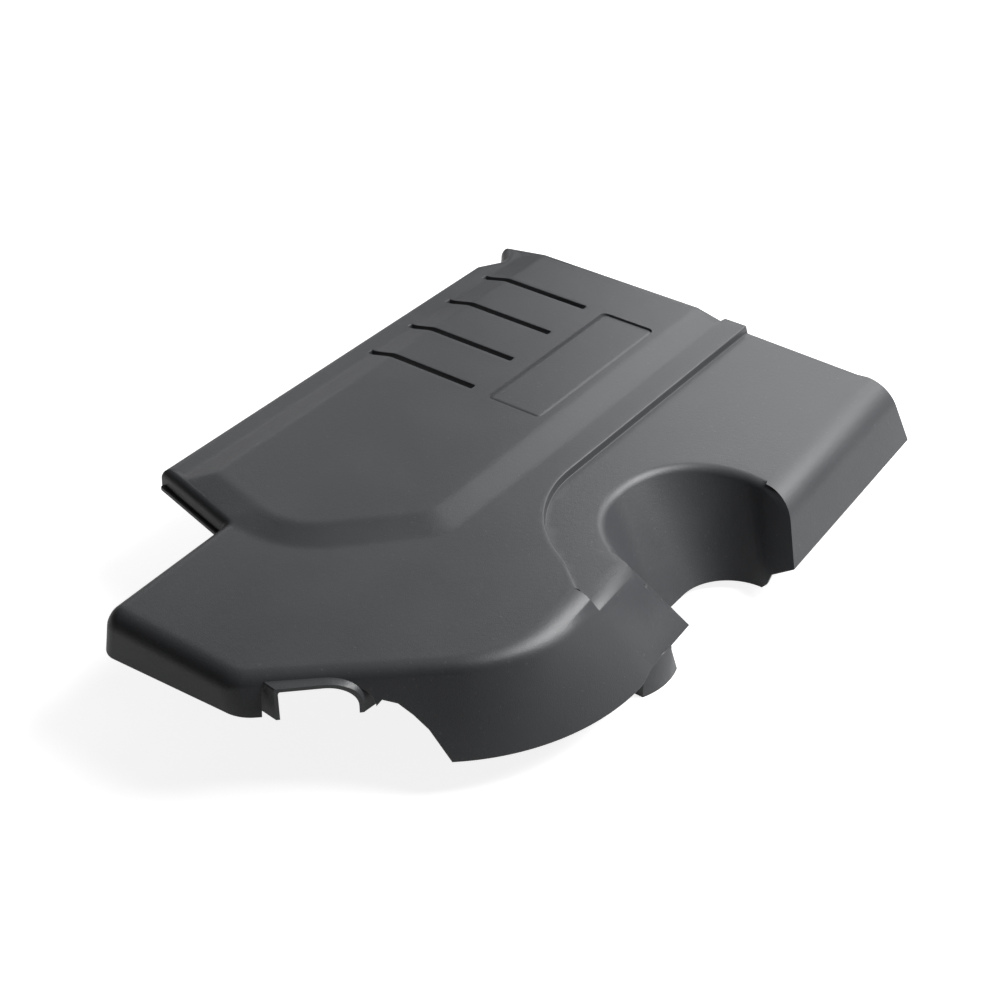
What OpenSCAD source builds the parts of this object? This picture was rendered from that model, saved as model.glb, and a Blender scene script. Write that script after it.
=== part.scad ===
// Engine cover: one moulded shell with a raised panel, a stepped right plate and a round bay.
// X runs across the cover from its left edge, Y from its front wall to its back, Z up.
// Heights are worked from the raised panel (0) downwards, and the finished cover is
// lifted so that its four posts stand on Z = 0.

/* [Overall] */
// Height from the feet of the posts to the raised panel
cover_h = 95; // [92:1:110]
// Left edge of the cover to the front corner of its right wall
cover_w = 385; // [375:1:400]
// Front wall to the back edge of the raised panel
cover_l = 574; // [565:1:590]
// Wall thickness of the moulding
wall = 2.8; // [2.2:0.1:3.4]

/* [Raised panel] */
// Right edge of the flat panel, from the left edge of the cover
panel_x = 201.5; // [195:0.5:206]
// Distance of the panel's front left corner from the front wall
panel_y = 158; // [150:1:170]
// Width of the sloping shoulder along the left edge
shoulder_w = 45; // [35:1:50]
// Drop of the shoulder at its outer edge
shoulder_drop = 11.5; // [6:0.5:14]
// Slant of the panel's front edge across the cover
plank_angle = 13; // [8:1:16]
// Slant of the panel's front right edge
corner_angle = 46; // [40:1:50]
// Plan width of the chamfer band on the panel's right
band_w = 22; // [16:1:28]
// Drop from the raised panel to the lower plate
band_drop = 5; // [3:0.5:7]
// Fillet radius along the left edge
left_fillet = 8; // [4:0.5:10]
// Depth of the left wall's lower edge below the panel
left_depth = 28; // [24:1:34]
// Depth of the lip below the plank's front edge
plank_depth = 21; // [18:1:26]
// How far the lip stands out from the plank's front wall
lip_out = 1.6; // [0.8:0.1:2.5]

/* [Front plate] */
// Left wall of the front plate, from the left edge of the cover
plate_x = 85; // [75:1:95]
// Length of the front plate's left wall
plate_y = 122; // [112:1:128]
// Length of the front wall
front_l = 118; // [105:1:130]
// Direction of the front diagonal wall
diagonal_angle = 42; // [38:1:45]
// Depth of the front wall's lower edge below the panel
front_depth = 36; // [32:1:42]

/* [Skirt] */
// Top edge of the flap, from the left edge of the cover
flap_x = 344; // [335:1:350]
// Outward slant of the flap
flap_draft = 34; // [28:1:36]
// Outward slant of the diagonal wall
skirt_draft = 21; // [17:1:25]
// Radius of the bend between diagonal wall and flap
skirt_r = 95; // [80:1:105]
// Depth of the skirt's lower edge below the panel
skirt_depth = 68; // [60:1:76]

/* [Cable hood] */
// Distance of the hood from the start of the diagonal
hood_s = 18; // [12:1:22]
// Width of the hood where it leaves the wall
hood_w = 80; // [70:1:84]
// How far the hood stands out from the diagonal
hood_out = 13; // [8:1:18]
// Depth of the hood's top below the panel
hood_depth = 9; // [8:0.5:12]

/* [Right plate] */
// Distance from the chamfer band to the step
strip_w = 23; // [18:1:28]
// Height of the step down to the right plate
step_h = 6.5; // [4:0.5:9]
// Radius of the step's bend round the bay
step_r = 102; // [96:1:106]
// Fall of the right plate towards its right wall, in mm per 100 mm
plate_fall = 2.7; // [1:0.1:4]
// Length of the tab at the back edge
tab_l = 5.5; // [3:0.5:9]
// Fillet radius along the right edge
right_fillet = 30; // [20:1:34]
// Outward slant of the right wall
right_draft = 25; // [18:1:28]
// Depth of the right wall's lower edge below the panel
right_depth = 61; // [54:1:70]

/* [Bay] */
// Centre of the bay, from the left edge of the cover
bay_x = 352.5; // [346:0.5:358]
// Centre of the bay, from the front wall
bay_y = 333; // [327:1:339]
// Radius of the bay at the plate
bay_r = 68; // [62:1:71]
// Inward slant of the bay's near wall
near_draft = 20; // [12:1:22]
// Inward slant of the bay's far wall
far_draft = 18; // [12:1:22]
// Depth of the bay's wall below the panel
bay_depth = 88; // [80:1:91]

/* [Slots and badge recess] */
// Number of slots
slot_n = 4; // [2:1:4]
// Distance between slots
slot_pitch = 51.5; // [45:0.5:52]
// Length of each slot
slot_l = 105; // [80:1:106]
// Width of each slot
slot_w = 5.5; // [4.5:0.5:8]
// Back slot's centre line, from the back edge
slot_back = 58; // [52:1:64]
// Gap between the badge recess and the back edge
recess_back = 55; // [48:1:62]
// Length of the badge recess
recess_l = 163; // [130:1:166]
// Width of the badge recess
recess_w = 50; // [40:1:52]
// Depth of the badge recess
recess_d = 1.2; // [0.6:0.1:1.6]

/* [Posts] */
// Outer diameter of a mounting post
post_d = 26; // [24:1:30]
// Diameter of the socket in a post's foot
socket_d = 19; // [16:0.5:20]
// Depth of the socket
socket_l = 14; // [10:1:18]
// Length of the oblong post under the flap
leg_l = 48; // [40:1:54]
// Height of the stiffening ribs
rib_h = 10; // [6:1:14]
// Thickness of the stiffening ribs
rib_t = 1.8; // [1.4:0.1:2.4]

/* [Hidden] */
dark = [0.13, 0.13, 0.14];
bite = 1.3;                 // how far a rib or post sinks into the wall above it
clear = 1;                  // overshoot of a cut
arc_n = 6;                  // pieces in a fillet
min_r = 0.5;                // smallest corner radius
tiny = 1e-7;                // what counts as nothing when outlines are cut up
small_fillet = 3;
z_plate = -band_drop;       // height of the lower plate
band_x = panel_x + band_w;
step_x = band_x + strip_w;
step_run = 0.9;             // plan width of the step's face
back_y = cover_l + tab_l;
plate_lean = 4.5;
right_lean = 8;
left_lean = 3;

function unit(v) = v / norm(v);
function left_of(u) = [-u[1], u[0]];
function cross2(a, b) = a[0] * b[1] - a[1] * b[0];
function turn(a, b) = atan2(cross2(a, b), a * b);
// Point where the line through p towards angle a meets the line through q towards angle b
function meet(p, a, q, b) =
    p + [cos(a), sin(a)] * cross2(q - p, [cos(b), sin(b)]) / sin(b - a);

// Heights of the three levels
panel_front = [shoulder_w, panel_y];
function ahead(x, y) = (panel_front - [x, y]) * [sin(plank_angle), cos(plank_angle)];
corner_a = [plate_x, plate_y];
plank_slope = band_drop / ahead(corner_a[0], corner_a[1]);
shoulder_slope = shoulder_drop / shoulder_w;
function z_panel(x, y) = min(0, (x - shoulder_w) * shoulder_slope, -ahead(x, y) * plank_slope);
function z_right(x) = z_plate - step_h - (x - step_x) * plate_fall / 100;
function level_z(level, x, y, t) =
    level == 1 ? z_panel(x, y) :
    level == 2 ? z_plate :
    level == 3 ? z_right(x) :
    z_panel(x, y) * max(1 - 2 * t, 0) + z_plate * min(2 * t, 1);

// Section of a wall: [inset, drop] of ring k. Ring 0 is the lower edge, the others run
// up the fillet from the top of the wall to the plate. Drops count from the plate.
function fillet_t(draft, r) = r * tan((90 - draft) / 2);
function section(draft, fillet, deep, k, skin) =
    let (t = skin * wall,
         r = max(fillet - t, 1),
         reach = fillet_t(draft, r),
         edge = t * (1 - sin(draft)) / cos(draft),
         phi = (90 - draft) * (k - 1) / arc_n)
    k == 0 ?
        [t / cos(draft) - tan(draft) * deep, deep] :
        [edge - reach * sin(draft) + r * (cos(draft) - cos(draft + phi)),
         t + reach * cos(draft) - r * (sin(draft + phi) - sin(draft))];

function plane_inset(draft, drop, skin) = skin * wall / cos(draft) - tan(draft) * drop;

// The outline's corners, anticlockwise from the plank's right end:
// [place, corner radius, depth of lower edge, draft and fillet of the wall that
//  leaves it, level, flare, shift of the lower edge along the wall, direction of
//  the wall where the next corner doesn't give it]
// Flare tells how much a corner's radius follows the slant below the plate's edge:
// 0 keeps it, 1 follows it, and -1 keeps a half round between the bay's two walls.
// Where it is CUT_NEXT or CUT_LAST the corner is sharp: the section of one wall runs
// on until the plane of the next or the last wall cuts it.
plank_line = [left_lean, 142];
front_left = [plate_x + plate_lean, 0];
front_right = [plate_x + front_l, 0];
diagonal = [cos(diagonal_angle), sin(diagonal_angle)];
skirt_top = [flap_x, (flap_x - front_right[0]) * tan(diagonal_angle)];
flap_lean = 6;
near_y = bay_y - bay_r;
far_y = bay_y + bay_r;
flap_back = [flap_x - flap_lean, near_y];
flap_u = unit(flap_back - skirt_top);
flap_angle = atan2(flap_u[1], flap_u[0]);
step_centre = [step_x + step_r, bay_y - 13];
step_sweep = 65;
step_tail = -29;
function step_arc(a, grow) = step_centre - (step_r + grow) * [cos(a), sin(a)];
// Where the step meets the flap's top edge, grown by the wall on the inside
function step_end(grow) = meet(step_arc(step_sweep, grow), step_tail, skirt_top, flap_angle);
function diagonal_at(s) = front_right + s * diagonal;
hood_end = hood_s + hood_w;

notch_back = 23.5;          // notch in the far wall's lower edge, from the right corner
notch_lean = 3.3;
notch_rake = 27;
flap_reach = 25.5;          // how far the flap's lower corner reaches past the near wall
corner_draft = far_draft + 9;
flap_rake = 20;
flap_depth = skirt_depth - 3;
skirt_flare = 2.25;

CUT_NEXT = 11;
CUT_LAST = 12;
near_turn = 30;             // the near wall leaves the flap already turned this much
near_shift = 4.5;           // and bends round a centre this much nearer to the front
bay_left = bay_x - bay_r;
near_touch = [bay_x - bay_r * sin(near_turn), bay_y - near_shift - bay_r * cos(near_turn)];
near_corner = [bay_left, near_touch[1] + (near_touch[0] - bay_left) * tan(near_turn)];

function corners(skin) =
    let (g = skin * wall,
         end = step_end(g),
         fall = z_plate - z_right(end[0]),
         low = end + flap_u * step_run - left_of(flap_u) * tan(flap_draft) * fall)
    [[corner_a, 2, plank_depth + 2, 5, 13, 12, 0],
     [front_left, 14, front_depth + 2, 8, 15, 2, 0],
     [front_right, 22, front_depth - 5, skirt_draft, 12, 2, 1],
     [diagonal_at(hood_s), 0, front_depth - 5, skirt_draft, 12, 2, 0],
     [diagonal_at(hood_end), 0, 25, skirt_draft, 12, 2, 0],
     [diagonal_at(hood_end + 10), 0, 28, skirt_draft, 12, 2, 0],
     [diagonal_at(hood_end + 25), 0, 46, skirt_draft, 12, 2, 0, 4],
     [diagonal_at(hood_end + 35), 0, skirt_depth, skirt_draft, 12, 2, 0, 8],
     [skirt_top, skirt_r, skirt_depth, flap_draft, 24, 2, skirt_flare],
     [end, 0, flap_depth, flap_draft, 24, 2, 0, flap_rake, flap_u],
     [low, 0, flap_depth, flap_draft, 10, 3, 0, flap_rake, flap_u],
     [meet(low, flap_angle, near_touch, -near_turn), 0,
      flap_depth - 1, near_draft, 8, 3, CUT_NEXT, flap_reach],
     [near_touch + 3 * [cos(near_turn), -sin(near_turn)], 0,
      skirt_depth + 4, near_draft, 8, 3, 0, -25],
     [near_corner, bay_r, bay_depth, 37, 10, 3, 1],
     [[bay_left, far_y], bay_r, bay_depth, far_draft, 8, 3, -1],
     [[cover_w - notch_back, far_y], 0, bay_depth - 7, corner_draft, 8, 3, 0, notch_rake],
     [[cover_w - notch_back + notch_lean, far_y], 0, right_depth + 9, corner_draft, 8, 3, 0, notch_rake],
     [[cover_w, far_y], 0, right_depth, right_draft, right_fillet, 3, CUT_LAST],
     [[cover_w - right_lean, back_y], 0, right_depth, 4, small_fillet, 3, CUT_NEXT],
     [[cover_w - right_lean - right_fillet, back_y], 0, right_depth - 2, 4, small_fillet, 3, 0],
     [[step_x + step_run - g, back_y], 0, 42, 4, small_fillet, 3, 0],
     [[step_x - g, back_y], 0, 40, 4, small_fillet, 2, 0],
     [[band_x + 1, back_y], 2, 36, 4, small_fillet, 2, 0],
     [[band_x, cover_l], 0, 35, 4, small_fillet, 2, 0],
     [[panel_x, cover_l], 0, 33, 4, small_fillet, 1, 0],
     [[shoulder_w, cover_l], 0, 30, 4, small_fillet, 1, 0],
     [[-3, cover_l], 3, left_depth, 4, left_fillet, 1, 0],
     [[14, cover_l - 21], 7, left_depth, 4, left_fillet, 1, 0],
     [[0.5, cover_l - 44], 6, left_depth, 4, left_fillet, 1, 0],
     [plank_line, 4, plank_depth, 6, 6, 1, 0],
     [plank_crease(skin), 0, plank_depth, 6, 6, 1, 0]];

// The crease between shoulder and plank front meets the last ring at this place
plank_dir = unit(corner_a - plank_line);
shoulder_grad = [shoulder_slope, 0];
plank_grad = plank_slope * [sin(plank_angle), cos(plank_angle)];
crease_dir = left_of(shoulder_grad - plank_grad);
function plank_crease(skin) =
    let (inset = section(6, 6, plank_depth, arc_n + 1, skin)[0],
         n = left_of(plank_dir),
         base = plank_line + n * inset,
         hit = panel_front + crease_dir * cross2(base - panel_front, plank_dir)
               / cross2(crease_dir, plank_dir))
    hit - n * inset;

function corner_steps(c) = c[1] == 0 ? 0 : c[1] > 50 ? 14 : c[1] > 10 ? 7 : 4;

// Point of ring k at corner c, t of the way round it, between the walls before and after
function rim_point(list, j, t, k, skin) =
    let (n = len(list),
         c = list[j],
         b = list[(j + n - 1) % n],
         d = list[(j + 1) % n],
         u1 = len(c) > 8 ? c[8] : unit(c[0] - b[0]),
         u2 = len(c) > 8 ? c[8] : unit(d[0] - c[0]),
         ang = turn(u1, u2),
         top = level_z(c[5], c[0][0], c[0][1], t),
         deep = top + c[2],
         r1 = section(b[3], b[4], deep, k, skin),
         r2 = section(c[3], c[4], deep, k, skin),
         s1 = c[6] == CUT_LAST ? [plane_inset(b[3], r2[1], skin), r2[1]] : r1,
         s2 = c[6] == CUT_NEXT ? [plane_inset(c[3], r1[1], skin), r1[1]] : r2,
         n1 = left_of(u1),
         mean = (s1[0] + s2[0]) / 2,
         straight = abs(ang) < 1.5,
         s = straight ? 0 : (s1[0] * cos(ang) - s2[0]) / sin(ang),
         slip = k == 0 && len(c) > 7 ? c[7] : 0,
         cc = straight ? c[0] + n1 * mean + u1 * slip : c[0] + n1 * s1[0] + u1 * (s + slip),
         grow = c[6] < 0 ? (section(near_draft, 8, deep, k, skin)[0]
                            + section(far_draft, 8, deep, k, skin)[0]) / 2 :
                mean < 0 ? mean * c[6] : mean,
         rk = c[1] == 0 ? 0 : max(c[1] - sign(ang) * grow, min_r),
         reach = rk * tan(abs(ang) / 2),
         f = abs(ang) * t,
         xy = straight ? cc :
              cc - u1 * reach + rk * (sin(f) * u1 + (1 - cos(f)) * sign(ang) * n1),
         drop = s1[1] * (1 - t) + s2[1] * t)
    [xy[0], xy[1], k == 0 ? -c[2] : level_z(c[5], xy[0], xy[1], t) - drop];

// The stations of one skin: corner number and place round the corner
function stations(list) =
    [for (j = [0:len(list) - 1])
        let (m = corner_steps(list[j]))
        for (i = [0:m]) [j, m == 0 ? 0.5 : i / m]];
function first_of(st, j) = [for (i = [0:len(st) - 1]) if (st[i][0] == j) i][0];
function last_of(st, j) = let (a = [for (i = [0:len(st) - 1]) if (st[i][0] == j) i]) a[len(a) - 1];
function mid_of(st, j) = (first_of(st, j) + last_of(st, j)) / 2;
rings = arc_n + 2;

// Rounded corner of a plan line: m + 1 points round corner p between a and b
function bend(a, p, b, r, m) =
    let (u1 = unit(p - a), u2 = unit(b - p), ang = turn(u1, u2), reach = r * tan(abs(ang) / 2),
         s = p - u1 * reach, n = left_of(u1) * sign(ang))
    [for (i = [0:m]) let (f = abs(ang) * i / m) s + r * (sin(f) * u1 + (1 - cos(f)) * n)];

// Upper and lower edges of the chamfer band
band_m = 6;
band_rise = 53;             // where the slanted front edge would meet the panel's right edge
panel_a = meet(panel_front, -plank_angle, [panel_x, panel_y + band_rise], corner_angle);
panel_b = [panel_x, panel_a[1] + (panel_x - panel_a[0]) * tan(corner_angle)];
lower_a = [panel_a[0] + 15.5, plate_y - 1];
lower_b = [band_x, lower_a[1] + (band_x - lower_a[0]) * tan(corner_angle + 0.7)];
function upper_edge() = concat(bend(panel_front, panel_a, panel_b, 50, band_m),
                               bend(panel_a, panel_b, [panel_x, cover_l], 23, band_m));
function lower_edge(start) = concat(bend(start, lower_a, lower_b, 80, band_m),
                                    bend(lower_a, lower_b, [band_x, cover_l], 28, band_m));
step_m = 12;
function step_line(grow) = [for (i = [0:step_m]) step_arc(step_sweep * i / step_m, grow)];

// Slots run from the panel over the crease into the shoulder. Corners of slot i,
// from its front left corner anticlockwise, with the crease points between.
slot_right = 126;           // right ends of the slots, from the left edge
function slot_y(i) = cover_l - slot_back - slot_w / 2 - i * slot_pitch;
function slot_points(i, t) =
    [for (p = [[slot_right - slot_l, 0], [shoulder_w, 0], [slot_right, 0],
               [slot_right, slot_w], [shoulder_w, slot_w], [slot_right - slot_l, slot_w]])
        [p[0], slot_y(i) + p[1], min(0, (p[0] - shoulder_w) * shoulder_slope) - t]];

// All points of one skin, and its faces seen from above the cover
function skin_points(skin) =
    let (list = corners(skin), st = stations(list), t = skin * wall,
         rim = [for (s = st) for (k = [0:rings - 1]) rim_point(list, s[0], s[1], k, skin)],
         a_end = rim[mid_of(st, 0) * rings + rings - 1],
         up = [for (p = upper_edge()) [p[0], p[1], -t]],
         lo = [for (p = lower_edge([a_end[0], a_end[1]])) [p[0], p[1], z_plate - t]],
         hi = [for (p = step_line(t)) [p[0], p[1], z_plate - t]],
         ft = [for (p = step_line(t - step_run)) [p[0], p[1], z_right(p[0]) - t]])
    concat(rim, [[panel_front[0], panel_front[1], -t]], up, lo, hi, ft,
           [for (i = [0:slot_n - 1]) each slot_points(i, t)]);
// First of the slots' points, counted in one skin
function slot_base(list) = len(stations(list)) * rings + 4 * band_m + 5 + 2 * (step_m + 1);

function run(a, b) = a > b ? [] : [for (i = [a:b]) i];
function fan(hub, line) = [for (i = [0:len(line) - 2]) [hub, line[i], line[i + 1]]];
// Triangles between two lines of equal count, a on the left of b
function ribbon(a, b) =
    [for (i = [0:len(a) - 2]) each [[a[i], b[i], b[i + 1]], [a[i], b[i + 1], a[i + 1]]]];

// A flat outline is cut into triangles corner by corner, the best shaped one first.
// A corner can be cut off if it turns left and no other point lies in its triangle.
function plan(p) = [p[0], p[1]];
function shape_of(a, b, c) = cross2(b - a, c - a) / max(norm(b - a), norm(c - b), norm(a - c)) ^ 2;
function within(p, a, b, c) =
    p != a && p != b && p != c
    && cross2(b - a, p - a) > -tiny && cross2(c - b, p - b) > -tiny && cross2(a - c, p - c) > -tiny;
function blocked(pts, loop, a, b, c) = len([for (i = loop) if (within(pts[i], a, b, c)) 1]) > 0;
function corner_shape(pts, loop, i) =
    let (n = len(loop), a = pts[loop[(i + n - 1) % n]], b = pts[loop[i]], c = pts[loop[(i + 1) % n]],
         s = shape_of(a, b, c))
    s < tiny || blocked(pts, loop, a, b, c) ? 0 : s;
function triangles(pts, loop, done = []) =
    len(loop) < 4 ? concat(done, [loop]) :
    let (n = len(loop),
         rank = [for (i = [0:n - 1]) corner_shape(pts, loop, i)],
         i = search(max(rank), rank)[0])
    triangles(pts, [for (j = [0:n - 1]) if (j != i) loop[j]],
              concat(done, [[loop[(i + n - 1) % n], loop[i], loop[(i + 1) % n]]]));

function skin_faces(list, points) =
    let (flat = [for (p = points) plan(p)],
         st = stations(list), n = len(st), top = rings - 1,
         sides = [for (i = [0:n - 1]) for (k = [0:rings - 2])
             let (a = i * rings + k, b = ((i + 1) % n) * rings + k)
             each [[a, b, b + 1], [a, b + 1, a + 1]]],
         rim = [for (i = [0:n - 1]) i * rings + top],
         hub = n * rings,
         up = run(hub + 1, hub + 2 * band_m + 2),
         lo = [for (i = up) i + 2 * band_m + 2],
         hi = run(hub + 4 * band_m + 5, hub + 4 * band_m + 5 + step_m),
         ft = [for (i = hi) i + step_m + 1],
         f = function (j) first_of(st, j),
         l = function (j) last_of(st, j),
         part = function (a, b) [for (i = [a:b]) rim[i]],
         upper = concat(up, [rim[f(24)]]),
         a_mid = mid_of(st, 0),
         sl = slot_base(list),
         lower = concat(lo, [rim[f(23)]]),
         high = concat([rim[f(21)]], hi, [rim[f(9)]]),
         foot = concat([rim[f(20)]], ft, [rim[f(10)]]))
    concat(sides,
        // flat raised panel
        triangles(flat, concat([hub], upper, [rim[f(25)]],
            [for (i = [0:slot_n - 1]) each [for (k = [4, 3, 2, 1]) sl + 6 * i + k]])),
        // shoulder, from the crease at the back round the left edge to the plank's crease
        triangles(flat, concat([hub],
            [for (i = [slot_n - 1:-1:0]) each [for (k = [1, 0, 5, 4]) sl + 6 * i + k]],
            part(f(25), f(30)))),
        // plank front, then the chamfer band
        [[hub, rim[f(30)], rim[f(0)]]],
        fan(up[0], concat([hub], part(f(0), a_mid), [lo[0]])),
        ribbon(upper, lower),
        // lower plate
        triangles(flat, concat(part(a_mid, f(9)), [for (i = [step_m:-1:0]) hi[i]],
            part(f(21), f(23)), [for (i = [2 * band_m + 1:-1:0]) lo[i]])),
        // step, then the right plate
        ribbon(foot, high),
        triangles(flat, concat(part(f(10), f(20)), ft)));

function reversed(f) = [for (i = [len(f) - 1:-1:0]) f[i]];

// The moulded shell: outer skin, inner skin and the rim that joins them
module shell() {
    outer = skin_points(0);
    inner = skin_points(1);
    m = len(outer);
    n = len(stations(corners(0)));
    rim = [for (i = [0:n - 1])
        let (a = i * rings, b = ((i + 1) % n) * rings)
        each [[a, a + m, b + m], [a, b + m, b]]];
    sl = slot_base(corners(0));
    slits = [for (i = [0:slot_n - 1]) for (k = [0:5])
        let (a = sl + 6 * i + k, b = sl + 6 * i + (k + 1) % 6)
        each [[a, b, b + m], [a, b + m, a + m]]];
    polyhedron(concat(outer, inner),
        concat([for (f = skin_faces(corners(0), outer)) reversed(f)],
               [for (f = skin_faces(corners(1), inner)) [for (i = f) i + m]],
               [for (f = rim) reversed(f)], [for (f = slits) reversed(f)]));
}

// Cable hood: an arch that leaves the diagonal wall, narrows outwards and is open below.
// p runs across the arch (0 to 1), q from the wall (0) to the lip (1).
hood_turn = 12;             // how much each side of the hood runs in towards the lip
hood_dir = [sin(diagonal_angle), -cos(diagonal_angle)];
hood_root = [diagonal_at(hood_s) - 4 * hood_dir, diagonal_at(hood_end) - 4 * hood_dir];
hood_lip = [hood_root[0] + hood_out * hood_dir + hood_turn * diagonal,
            hood_root[1] + (hood_out - 2) * hood_dir - hood_turn * diagonal];
function hood_point(p, z, q) =
    let (a = hood_root[0] * (1 - p) + hood_root[1] * p,
         b = hood_lip[0] * (1 - p) + hood_lip[1] * p,
         m = a * (1 - q) + b * q)
    [m[0], m[1], z];
hood_leg = front_depth - 1;
hood_crown = 0.56;          // share of the width at which the arch starts to fall
hood_fall = 17;             // how far it falls from there
hood_side = 1.35;           // how much thicker the legs are than the crown
hood_clear = 30;            // how far the cut inside the arch runs on below its legs
function hood_arch(t) =
    let (side = t / hood_w * hood_side, top = -hood_depth - t,
         foot = -hood_leg - (t > 0 ? hood_clear : 0))
    concat([[side, foot], [side, top - 1.5], [side + 0.02, top]],
           [for (i = [0:6]) let (a = i * 15)
               [hood_crown + (1 - hood_crown - side) * sin(a),
                top - hood_fall * (1 - cos(a))]],
           [[1 - side, foot]]);
module hood_solid(t, q0, q1) {
    arch = hood_arch(t);
    n = len(arch);
    polyhedron([for (q = [q0, q1]) for (a = arch) hood_point(a[0], a[1], q)],
        concat([[for (i = [n - 1:-1:0]) i]], [[for (i = [0:n - 1]) i + n]],
            [for (i = [0:n - 1]) each [[i, (i + 1) % n, (i + 1) % n + n],
                                       [i, (i + 1) % n + n, i + n]]]));
}

// Shallow recess for the badge, with rounded corners
recess_x = 143;
recess_y = cover_l - recess_back - recess_l;
recess_r = 5;
module recess() {
    quarter = [for (i = [0:5]) i * 18];
    translate([recess_x, recess_y, -recess_d])
        linear_extrude(recess_d + clear)
            polygon(concat(
                [for (a = quarter) [recess_w - recess_r + recess_r * cos(a),
                                    recess_l - recess_r + recess_r * sin(a)]],
                [for (a = quarter) [recess_r - recess_r * sin(a),
                                    recess_l - recess_r + recess_r * cos(a)]],
                [for (a = quarter) [recess_r - recess_r * cos(a), recess_r - recess_r * sin(a)]],
                [for (a = quarter) [recess_w - recess_r + recess_r * sin(a),
                                    recess_r - recess_r * cos(a)]]));
}

// Lip that stands out along the lower edge of the plank's front wall
lip_h = 4;
lip_gap = [3, 5];           // left free at the lip's two ends
plank_lean = 6;
module lip() {
    n = left_of(plank_dir);
    translate([corner_a[0], corner_a[1], -plank_depth])
        rotate([0, 0, atan2(-plank_dir[1], -plank_dir[0])])
            translate([lip_gap[0], -bite, 0])
                cube([norm(corner_a - plank_line) - lip_gap[0] - lip_gap[1],
                      bite + plank_depth * tan(plank_lean) + lip_out, lip_h]);
}

// Posts: legs with a round socket in the foot for a rubber insert and a core hole above it
post_front = [77, 235];
rear_gap = [84, 54];        // of the two rear posts, from the panel's back edge
post_back = [65, cover_l - rear_gap[0]];
post_right = [317, cover_l - rear_gap[1]];
leg_at = [359, 252];
core_d = 14;
core_top = 10;              // solid left between a post's core hole and the panel
leg_in = 16;                // the oblong post, from its socket towards the engine
leg_out = 20.5;             // and outwards to the middle of its bowed face
leg_bow = 55;
leg_top = 27;               // its top stays this far below the panel
flap_at = flap_x + (leg_at[1] - skirt_top[1]) / tan(flap_angle);
module post(at, top) {
    translate([at[0], at[1], -cover_h])
        cylinder(d = post_d, h = cover_h + top, $fn = 64);
}
module socket(at, deep) {
    translate([at[0], at[1], -cover_h - clear]) {
        cylinder(d = socket_d, h = socket_l + clear, $fn = 64);
        cylinder(d = core_d, h = deep, $fn = 64);
    }
}
module sockets() {
    for (at = [post_front, post_back])
        socket(at, cover_h - core_top);
    socket(post_right, cover_h + z_right(post_right[0]) - core_top);
    socket(leg_at, cover_h - band_drop - core_top
                   - (leg_at[0] + core_d / 2 - flap_at) / tan(flap_draft));
}

// Oblong post under the flap: a bowed channel, open towards the engine, round a socket tube
module leg_plan(t) {
    intersection() {
        translate([-leg_in - t, t - leg_l / 2]) square([leg_in + 2 * leg_out, leg_l - 2 * t]);
        translate([leg_out - leg_bow, 0]) circle(leg_bow - t, $fn = 96);
    }
}
module leg() {
    leg_h = cover_h - leg_top;
    difference() {
        translate([leg_at[0], leg_at[1], -cover_h]) {
            linear_extrude(leg_h) difference() {
                leg_plan(0);
                leg_plan(wall);
            }
            cylinder(d = post_d, h = leg_h, $fn = 64);
            translate([0, -rib_t / 2, 0]) cube([leg_out - bite, rib_t, leg_h]);
            translate([-rib_t / 2, bite - leg_l / 2, 0]) cube([rib_t, leg_l - 2 * bite, leg_h]);
        }
        intersection() {
            translate([flap_x, skirt_top[1], z_plate - (wall - bite) / sin(flap_draft)])
                rotate([0, 0, flap_angle - 90])
                    rotate([0, 90 - flap_draft, 0])
                        translate([-cover_h, -cover_h, 0])
                            cube([3 * cover_h, 4 * cover_h, cover_h]);
            translate([0, 0, bite - flap_depth])
                cube([2 * cover_w, cover_l, cover_h]);
        }
        translate([near_touch[0], near_touch[1], z_right(near_touch[0])])
            rotate([0, 0, -near_turn])
                rotate([near_draft, 0, 0])
                    translate([-cover_h, bite - wall, -2 * cover_h])
                        cube([3 * cover_h, cover_h, 3 * cover_h]);
    }
}

// Stiffening ribs: thin webs with sloping ends under the flat plates
module rib_x(x0, x1, y, z0, z1) {
    translate([0, y + rib_t / 2, 0]) rotate([90, 0, 0])
        linear_extrude(rib_t)
            polygon([[x0, z0], [x1, z1], [x1 - 4, z1 - rib_h], [x0 + 4, z0 - rib_h]]);
}
module rib_y(x, y0, y1, z) {
    translate([x - rib_t / 2, 0, 0]) rotate([90, 0, 90])
        linear_extrude(rib_t)
            polygon([[y0, z], [y1, z], [y1 - 4, z - rib_h], [y0 + 4, z - rib_h]]);
}
module ribs() {
    panel_z = bite - wall;
    plate_z = z_plate + bite - wall;
    for (i = [0:slot_n])
        rib_x(shoulder_w + 3, panel_x - 2, cover_l - slot_back - (i - 0.5) * slot_pitch,
              panel_z, panel_z);
    rib_x(shoulder_w + 3, panel_x - 2, post_front[1], panel_z, panel_z);
    rib_y((slot_right + recess_x) / 2, panel_y + 15, cover_l - 8, panel_z);
    rib_y(post_front[0], panel_y + 8, recess_y - 12, panel_z);
    rib_y(front_right[0] - 50, 16, plate_y, plate_z);
    rib_x(plate_x + 20, front_right[0] + 20, plate_y / 2, plate_z, plate_z);
    for (y = [post_right[1], post_right[1] - 62])
        rib_x(step_x + 8, cover_w - 38, y, z_right(step_x + 8) + bite - wall,
              z_right(cover_w - 38) + bite - wall);
}

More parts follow.
